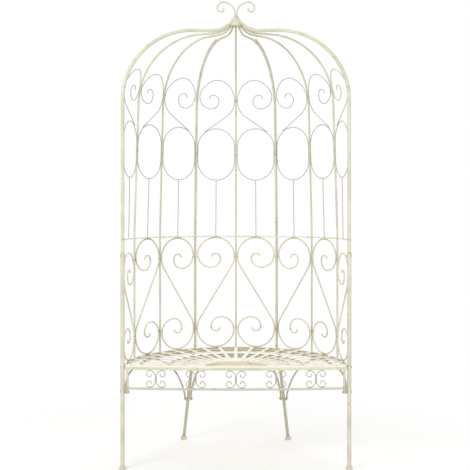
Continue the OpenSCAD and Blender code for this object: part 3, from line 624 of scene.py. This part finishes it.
# The top edge of the band is painted paler: a painted highlight.
t.tint(t.fade(t.height(), SEAT, 0.4622), (0.86, 0.83, 0.72, 1))
seat_of_sheet = t.math("MULTIPLY", t.heights([0.450], 0.005), 0.5)
hub_paint = t.painted(seat_of_sheet, wear=0.3, offset=4.9,
                      paint=(0.80, 0.75, 0.62, 1), shade=(0.68, 0.60, 0.47, 1))


def bent_bar(radius, centre, low, high, front):
    """A flat bar on edge, bent to a half circle and cut off at the rail. All in metres."""
    bpy.ops.mesh.primitive_plane_add(size=1.0, rotation=(math.radians(90), 0.0, 0.0))
    bar = bpy.context.active_object
    bpy.ops.object.transform_apply(location=True, rotation=True, scale=True)
    bpy.ops.object.mode_set(mode="EDIT")
    bpy.ops.mesh.select_all(action="SELECT")
    bpy.ops.transform.resize(value=(0.004, 1.0, high - low))
    bpy.ops.transform.translate(value=(radius, centre, (low + high) / 2))
    axis = (0.0, centre, 0.0)
    bpy.ops.mesh.spin(steps=72, angle=math.radians(-220), center=axis, axis=(0.0, 0.0, 1.0))
    bpy.ops.mesh.select_all(action="SELECT")
    bpy.ops.transform.rotate(value=math.radians(20), orient_axis="Z", center_override=axis)
    bpy.ops.mesh.remove_doubles(threshold=0.00001)
    bpy.ops.mesh.bisect(plane_co=(0.0, front, 0.0), plane_no=(0.0, 1.0, 0.0),
                        clear_inner=True, use_fill=True)
    bpy.ops.mesh.select_all(action="SELECT")
    bpy.ops.mesh.normals_make_consistent(inside=False)
    bpy.ops.object.mode_set(mode="OBJECT")
    apply(bar, "BEVEL", width=0.0005, segments=2)
    return bar


band = bent_bar(HUB / 1000 - 0.002, FAN_Y, 0.449, SEAT, HUB_BACK)
stand_for(band, "hub_band", hub_paint, "frame_paint", "seat_hub")
bearer = bent_bar(0.240, AXIS_Y, 0.4458, 0.4598, AXIS_Y - 0.0705)
stand_for(bearer, "innermost_bearer", bearer_paint, "frame_paint")
t = Tree("sheet_paint")
# Painted shade: a darker line along the foot of the band and a darker arc further in, given to the
# paint where joints go, so that they darken like stain and rust.
shade_under_band = t.near(t.radius(0.0, FAN_Y), 0.137, 0.012)
shade_arc = t.near(t.radius(0.0, FAN_Y - 0.02), 0.112, 0.008)
sheet_paint = t.painted(t.any_of([shade_under_band, t.math("MULTIPLY", shade_arc, 0.8)]), wear=0.3, offset=4.9,
                        paint=(0.76, 0.71, 0.58, 1), shade=(0.64, 0.57, 0.43, 1), cloud=12.0)
bpy.ops.mesh.primitive_circle_add(vertices=96, radius=HUB / 1000 - 0.0042, fill_type="TRIFAN",
                                  location=(0.0, FAN_Y, 0.4505))
sheet = bpy.context.active_object
bpy.ops.object.transform_apply(location=True, rotation=True, scale=True)
choose(sheet, lambda point: abs(point.x) < 0.001 and abs(point.y - FAN_Y) < 0.001)
bpy.ops.transform.translate(value=(0.0, 0.0, -0.001))
bpy.ops.mesh.select_all(action="SELECT")
bpy.ops.mesh.bisect(plane_co=(0.0, HUB_BACK, 0.0), plane_no=(0.0, 1.0, 0.0), clear_inner=True)
bpy.ops.object.mode_set(mode="OBJECT")
apply(sheet, "SOLIDIFY", thickness=0.0015)
stand_for(sheet, "hub_sheet", sheet_paint, "seat_paint", "seat_hub_plate")

# The apron hangs under the front rail: a thin bowed rail, two uprights and five ornaments of thin
# wire, each two scrolls back to back, welded to each other and to the rails above and below.
ORNAMENT_STEP = 177
LOBE_OFF = 28.1
t = Tree("apron_paint")
joints = t.heights([0.3655, 0.4425], 0.005)
t.tint(t.fade(t.height(), 0.358, 0.361), (0.56, 0.55, 0.42, 1))
apron_paint = t.painted(joints, wear=0.4, offset=7.7, paint=(0.68, 0.665, 0.55, 1))
finish(apron_paint, "apron_rail", "apron_uprights")
WIRE = (0.49, 0.49, 0.39, 1)
WIRE_SHADE = (0.40, 0.385, 0.325, 1)
t = Tree("apron_wire_paint")
joints = t.heights([0.3665, 0.4415], 0.005)
finish(t.painted(joints, wear=0.45, offset=2.2, paint=WIRE, shade=WIRE_SHADE), "apron_scrolls")
places = []
for side in SIDES:
    places.append((on_bow(475.8, 360, 0.0, side), UP, 10, 4.0))
    places.append((Vector((side * 480.83, -47.02 + CAGE_Y, 442.0)) / 1000, UP, 4, 11.5))
for k in range(-2, 3):
    centre = math.asin(k * ORNAMENT_STEP / BOW)
    level = Vector((math.cos(centre), math.sin(centre), 0.0))
    for off in (-LOBE_OFF, LOBE_OFF):
        x = BOW * math.sin(centre) + off * math.cos(centre)
        for height in (442.5, 365.4):
            places.append((on_bow(abs(x), height, 0.0, 1 if x > 0 else -1), level, 9, 2.6))
    x = BOW * math.sin(centre)
    for height in (398.0, 411.0):
        places.append((on_bow(abs(x), height, -1.2, 1 if x > 0 else -1), UP, 9, 2.6))
set_copies("apron_welds", run_of_weld, places, weld_paint)

# The cage's rods are plain round steel, bent at the shoulder and again under the crown. They are
# welded to the rim's outside, and the doubled seam rods are bolted through each other.
SEAM = 23.7
RODS = (0, SEAM, 47.4, 71.1)
RING = 1.018
LOW_TOUCH = 0.561
HIGH_TOUCH = 0.917
LOBE = 1.695
t = Tree("rod_paint")
joints = t.heights([0.455, LOW_TOUCH, HIGH_TOUCH, RING, 1.425, LOBE, 1.978], 0.009)
t.tint(t.math("MULTIPLY", t.heights([0.565, 0.915], 0.045), 0.65), (0.56, 0.52, 0.34, 1))
rod_paint = t.painted(joints, wear=0.4, offset=0.6, paint=(0.67, 0.655, 0.51, 1),
                      shade=(0.52, 0.50, 0.38, 1))
finish(rod_paint, "back_rod_centre", "side_rear_rod_left", "side_rear_rod_right",
       "side_front_rod_left", "side_front_rod_right", "back_edge_rod_left", "back_edge_rod_right",
       "side_edge_rod_left", "side_edge_rod_right")
places = []
for angle in RODS:
    if angle == SEAM:
        continue
    for side in SIDES[:1] if angle == 0 else SIDES:
        for shift in (-0.62, 0.62):
            places.append((spot(angle + shift, 496.6, 453, side), UP, 18, 3.0))
set_copies("rim_welds", run_of_weld, places, weld_paint)

# The front arch is two bent steel tubes. They stand in the posts, where a bolt holds each, bend
# over the shoulder and are welded to the crown.
t = Tree("arch_paint")
joints = t.heights([SLEEVE + 0.003, RING, 1.697, 1.983], 0.008)
arch_paint = t.painted(joints, wear=0.3, offset=9.4, paint=(0.71, 0.695, 0.555, 1))
finish(arch_paint, "front_arch_left", "front_arch_right")

# The arm ring is a thin steel rod rolled to the cage's inside, in three sections, welded to every
# rod. A few small knots of weld stand on it beside the rods, where the jig held it.
t = Tree("ring_paint")
finish(t.painted(0.0, wear=0.3, offset=1.1, paint=(0.80, 0.785, 0.65, 1)),
       "arm_ring_back", "arm_ring_left", "arm_ring_right")
places = []
for angle in RODS:
    for side in SIDES[:1] if angle == 0 else SIDES:
        for height in (1014.6, 1021.4):
            place = spot(angle, 494.6, height, side)
            places.append((place, along(angle, side), 8, 3.0))
for side in SIDES:
    places.append((spot(94.0, 494.2, 1018, side), UP, 8, 4.0))
set_copies("ring_welds", run_of_weld, places, weld_paint)
knots = [(spot(1.6, 492.3, 1018), along(1.6), 8.5, 9.5)]
for side in SIDES:
    knots.append((spot(45.3, 492.3, 1018, side), along(45.3, side), 8.5, 9.5))
set_copies("ring_knots", run_of_weld, knots, weld_paint)

# Eight large scrolls of seven millimetre steel wire were curled round a jig and welded into the
# bays, to the rods on both sides, the seat's rim and the arm ring. Their open ends were hammered
# round.
SCROLL = 7
SCROLLS = ["scroll_" + bay + "_" + hand for bay in ("back", "rear", "middle", "front")
           for hand in ("left", "right")]
t = Tree("scroll_paint")
joints = t.heights([0.467, LOW_TOUCH, HIGH_TOUCH, 1.011], 0.009)
scroll_paint = t.painted(joints, wear=0.45, offset=2.9, paint=(0.72, 0.705, 0.555, 1),
                         shade=(0.52, 0.505, 0.39, 1), cloud=6.0)
finish(scroll_paint, *SCROLLS)


def hammered_tip():
    """A blunt round tip of a wire, one wide and one long, that points along X."""
    bpy.ops.mesh.primitive_uv_sphere_add(segments=12, ring_count=8, radius=0.5,
                                         rotation=(0, math.radians(90), 0))
    tip = bpy.context.active_object
    bpy.ops.object.transform_apply(location=True, rotation=True, scale=True)
    choose(tip, lambda point: abs(point.x) > 0.45)
    bpy.ops.transform.resize(value=(0.86, 1.5, 1.5))
    bpy.ops.object.mode_set(mode="OBJECT")
    bpy.ops.object.shade_smooth()
    return tip


def round_end(faces, wire):
    """The middle of some flat faces, if together they have the size of a wire's round end."""
    area = sum(face.area for face in faces)
    full = math.pi * (wire / 2000) ** 2
    if len(faces) < 5 or not 0.6 * full < area < 1.03 * full:
        return None
    middle = sum((face.center * face.area for face in faces), Vector()) / area
    return middle if max((face.center - middle).length for face in faces) < wire / 1900 else None


def open_ends(source, wire):
    """The middles and directions of a wire piece's ends: its round groups of faces in one plane."""
    found = []
    for shift in (0.0, 0.5):
        planes = {}
        for face in nodes[source].data.polygons:
            key = [math.floor(v * 100 + shift) for v in face.normal]
            key.append(math.floor(face.center.dot(face.normal) * 10000 + shift))
            planes.setdefault(tuple(key), []).append(face)
        for faces in planes.values():
            middle = round_end(faces, wire)
            if middle and all((middle - known).length > wire / 2000 for known, _ in found):
                found.append((middle, faces[0].normal.copy()))
    return found


tip_of_wire = hammered_tip()
places = []
for name in SCROLLS:
    for middle, out in open_ends(name, SCROLL):
        places.append((middle, out, 6.4, 7.05))
set_copies("scroll_tips", tip_of_wire, places, scroll_paint)


def bay_sides(start, end):
    """The two sides of a bay on the right, in millimetres, from their angles and radii."""
    rods = []
    for angle, radius in start, end:
        turn = math.radians(angle)
        rods.append(Vector((radius * math.sin(turn), radius * math.cos(turn), 0.0)))
    return rods


places = []
ROD_R = 500.0
SEAM_OUT = 9.2
ROD_HALF = 4.5
ARCH = 94.8
FRONT = (ARCH, 505.0)
for start, end, half in (((SEAM, ROD_R), (0.0, ROD_R), ROD_HALF),
                         ((SEAM, ROD_R + SEAM_OUT), (47.4, ROD_R), ROD_HALF),
                         ((71.1, ROD_R), (47.4, ROD_R), ROD_HALF),
                         ((71.1, ROD_R), FRONT, 9.5)):
    p, q = bay_sides(start, end)
    level = (q - p).normalized()
    loop = ((q - p).length - ROD_HALF - half) / 2 - 3.7
    top = 953.5 if end == FRONT else 1011.4
    centre = p + level * (ROD_HALF + 3.7 + loop)
    touches = [(-loop - 3.6, 466.7 + loop, True, 16), (0.0, 463.8, False, 12),
               (loop + 3.6, top - loop, True, 16)]
    if end != FRONT:
        touches.append((0.0, top + 3.4, False, 12))
    for offset, height, up, length in touches:
        for side in SIDES:
            place = centre + level * offset
            place = Vector((side * place.x, place.y + CAGE_Y, height)) / 1000
            flat = Vector((side * level.x, level.y, 0.0))
            places.append((place, UP if up else flat, length, 4.2 if up else 3.4))
set_copies("scroll_welds", run_of_weld, places, weld_paint)

# Hearts, ovals and spindles are bent from four millimetre steel wire and welded to the rods, the
# arm ring and each other. The paint lies thinner on them and looks greyer.
WIRE_D = 4
OVAL_LOW = 1392
OVAL_HIGH = 1461
t = Tree("wire_paint")
joints = t.heights([1.0225, 1.299, OVAL_LOW / 1000, OVAL_HIGH / 1000, 1.554, LOBE], 0.006)
wire_paint = t.painted(joints, wear=0.45, offset=4.2, paint=WIRE, shade=WIRE_SHADE)
finish(wire_paint, "hearts_back", "hearts_left", "hearts_right", "ovals_back", "ovals_left",
       "ovals_right", "spindles_back", "spindles_left", "spindles_right")


def rod_radius(height, out=0.0):
    """Distance of a rod from the cage's axis: upright, then leaning in, then bent over."""
    if height < 1030:
        return ROD_R + out
    if height < 1640 + (308 + out) * 0.0349:
        return 499.452 + out - max(0.0, height - 1061.41) * 0.034921
    return 171.06 + math.sqrt((308 + out) ** 2 - (height - 1640) ** 2)


def arch_radius(height):
    """Distance of the arch from the cage's axis."""
    return FRONT[1] if height < 1638 else 190.0 + math.sqrt(315.0 ** 2 - (height - 1638) ** 2)


def bent_ends(source, wire):
    """As open_ends, for the hearts, whose ends were bent with the bay and aren't quite flat."""
    faces = nodes[source].data.polygons
    tree = kdtree.KDTree(len(faces))
    for face in faces:
        tree.insert(face.center, face.index)
    tree.balance()
    found = []
    for face in faces:
        near = [faces[i] for _, i, _ in tree.find_range(face.center, wire / 1100)]
        middle = round_end([other for other in near if other.normal.dot(face.normal) > 0.93], wire)
        if middle and all((middle - known).length > wire / 2000 for known, _ in found):
            found.append((middle, face.normal.copy()))
    return found


places = []
tips = []
for start, out, end in ((SEAM, 0.0, 0.0), (SEAM, SEAM_OUT, 47.4), (71.1, 0.0, 47.4),
                        (71.1, 0.0, ARCH)):
    front = end == ARCH

    def sides_at(height):
        return bay_sides((start, rod_radius(height, out)),
                         (end, arch_radius(height) if front else rod_radius(height)))

    half = 8.0 if front else ROD_HALF
    p, q = sides_at(OVAL_HIGH)
    loop = ((q - p).length - ROD_HALF - half) / 2 - 2.2
    p, q = sides_at((OVAL_LOW + OVAL_HIGH) / 2)
    width = (q - p).length
    share = (width - half - 2.2 - loop) / width if front else 0.5
    foot, foot_end = sides_at(1022)
    head_height = OVAL_LOW - loop - 2.2
    head, head_end = sides_at(head_height)
    p_lobe, q_lobe = sides_at(LOBE * 1000)
    level = (q - p).normalized()
    level_lobe = (q_lobe - p_lobe).normalized()
    marks = [(foot.lerp(foot_end, share), 1022.6, 4.6, 6.0),
             (head.lerp(head_end, share), head_height, 4.6, 5.4),
             (q - level * (half + 0.6), 1436, 15, 2.8),
             (p + level * 5.1, 1442, 15, 2.8),
             (q_lobe - level_lobe * (half + 0.6), LOBE * 1000, 12, 2.8)]
    for side in SIDES:
        for place, height, length, thick in marks:
            place = Vector((side * place.x, place.y + CAGE_Y, height)) / 1000
            places.append((place, UP, length, thick))
for part in ("back", "left", "right"):
    for middle, out in bent_ends("hearts_" + part, WIRE_D):
        if middle.z < 1.6:
            places.append((middle, out, 9, 6.0))
        else:
            tips.append((middle, out, 3.6, 4.05))
set_copies("wire_welds", run_of_weld, places, weld_paint)
for middle, out in open_ends("apron_scrolls", WIRE_D):
    tips.append((middle, out, 3.6, 4.05))
set_copies("wire_tips", tip_of_wire, tips, wire_paint)

# The crown is a turned steel cone that gathers the rods, each run into it with a full fillet of
# weld. Two scrolled wires stand in it as a finial. Their tips, and the upper ends of the outer
# seam rods, were hammered round.
PROFILE = ((4.0, 1971.6), (14.5, 1972.6), (20.5, 1975.0), (22.0, 1978.5), (22.0, 1989.6),
           (20.4, 1993.2), (17.2, 1997.2), (14.8, 2001.6), (13.1, 2006.0), (12.0, 2010.4),
           (11.4, 2013.6), (10.0, 2015.6))
t = Tree("crown_paint")
crown_paint = t.painted(t.heights([1.973, 2.015], 0.006), wear=0.3, offset=6.1,
                        paint=(0.76, 0.72, 0.56, 1))
bpy.ops.mesh.primitive_circle_add(vertices=40, radius=PROFILE[0][0] / 1000, fill_type="NGON",
                                  location=(0.0, AXIS_Y, PROFILE[0][1] / 1000))
cone = bpy.context.active_object
bpy.ops.object.transform_apply(location=True, rotation=True, scale=True)
bpy.ops.object.mode_set(mode="EDIT")
bpy.ops.mesh.select_all(action="SELECT")
for below, here in zip(PROFILE, PROFILE[1:]):
    rise = (here[1] - below[1]) / 1000
    bpy.ops.mesh.extrude_region_move(TRANSFORM_OT_translate={"value": (0.0, 0.0, rise)})
    grow = here[0] / below[0]
    bpy.ops.transform.resize(value=(grow, grow, 1.0))
bpy.ops.mesh.select_all(action="SELECT")
bpy.ops.mesh.normals_make_consistent(inside=False)
bpy.ops.object.mode_set(mode="OBJECT")
bpy.ops.object.shade_smooth_by_angle(angle=math.radians(38))
stand_for(cone, "crown_cone", crown_paint, "frame_paint", "crown")
t = Tree("finial_paint")
finial_paint = t.painted(t.heights([2.018, 2.083], 0.006), wear=0.35, offset=6.1,
                         paint=(0.63, 0.62, 0.53, 1))
finish(finial_paint, "finial_left", "finial_right")
places = []
for angle in RODS + (ARCH,):
    for side in SIDES[:1] if angle == 0 else SIDES:
        turn = math.radians(angle)
        inwards = Vector((-side * math.sin(turn), -math.cos(turn), 0.0))
        if angle == ARCH:
            places.append((spot(angle, 26.0, 1987.0, side), inwards * 0.68 + UP * 0.73, 19, 15.0))
            places.append((spot(angle, 18.0, 1997.5, side), inwards * 0.42 + UP * 0.91, 28, 11.5))
        else:
            places.append((spot(angle, 25.5, 1982.5, side), inwards * 0.66 + UP * 0.75, 18, 10.5))
            places.append((spot(angle, 18.0, 1993.5, side), inwards * 0.36 + UP * 0.93, 26, 8.6))
set_copies("crown_welds", run_of_weld, places, crown_paint)
tips = []
for source, size, length, above in (("finial_", SCROLL, 6.4, 2.0),
                                    ("side_edge_rod_", 2 * ROD_HALF, 6.0, 1.9)):
    for hand in ("left", "right"):
        for middle, out in open_ends(source + hand, size):
            if middle.z > above:
                tips.append((middle, out, length, size + 0.05))
set_copies("finial_and_seam_tips", tip_of_wire, tips, crown_paint)

# Steel bolts and nuts hold the seams, the posts, the rim and the braces. They were painted over
# with the bench, and turning them has chipped them to rust.
t = Tree("fastener_paint")
fastener_paint = t.painted(0.5, wear=0.8, offset=3.7, paint=(0.62, 0.55, 0.42, 1),
                           shade=(0.4, 0.3, 0.2, 1))
finish(fastener_paint, "seam_bolts", "seam_nuts", "seat_bolts", "seat_nuts", "frame_bolts",
       "frame_nuts")

for shape in (run_of_weld, tip_of_wire):
    bpy.data.objects.remove(shape, do_unlink=True)
